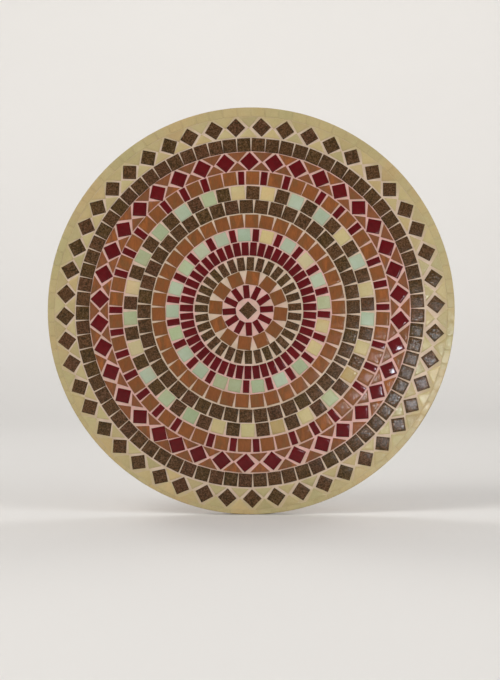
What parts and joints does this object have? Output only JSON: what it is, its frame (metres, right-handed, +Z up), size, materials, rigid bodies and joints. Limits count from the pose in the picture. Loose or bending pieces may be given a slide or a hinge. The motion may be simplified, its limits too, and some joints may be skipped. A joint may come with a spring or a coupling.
{
  "type": "mosaic panel",
  "caption": "Round wall panel of glass mosaic tiles in rings of brown, burgundy, terracotta and pale green, with diamond borders and a cream rim, on a flat backing board.",
  "frame": {"origin": "middle of the board's flat back, on the plane of the wall that it hangs on", "axes": "+Y out of the back, into the wall; the mosaic face looks along -Y; +Z up; +X to the right as one looks at the face"},
  "size_m": [0.6, 0.017, 0.6],
  "materials": {
    "board": "sealed fibreboard, matte",
    "brown_glass": "opaque dark brown glass with coppery flecks, glossy",
    "burgundy_glass": "opaque burgundy glass, glossy",
    "terracotta_glass": "opaque mottled terracotta glass, glossy",
    "mint_glass": "opaque pale green glass, glossy",
    "cream_glass": "opaque cream glass, glossy"
  },
  "bodies": {
    "root": {"backing_board": "board", "centre_stone": "brown_glass", "ring_01_burgundy_spokes": "burgundy_glass", "ring_02_terracotta_spokes": "terracotta_glass", "ring_03_brown_bars": "brown_glass", "ring_04_burgundy_bars": "burgundy_glass", "ring_05_mint_and_burgundy": "mint_glass", "ring_06_terracotta_squares": "terracotta_glass", "ring_07_brown_squares": "brown_glass", "ring_08_brown_and_mint": "mint_glass", "ring_09_terracotta_and_burgundy": "terracotta_glass", "ring_10_burgundy_diamonds": "burgundy_glass", "ring_11_brown_squares": "brown_glass", "ring_12_brown_diamonds": "brown_glass", "rim_band": "cream_glass"}
  },
  "joints": []
}
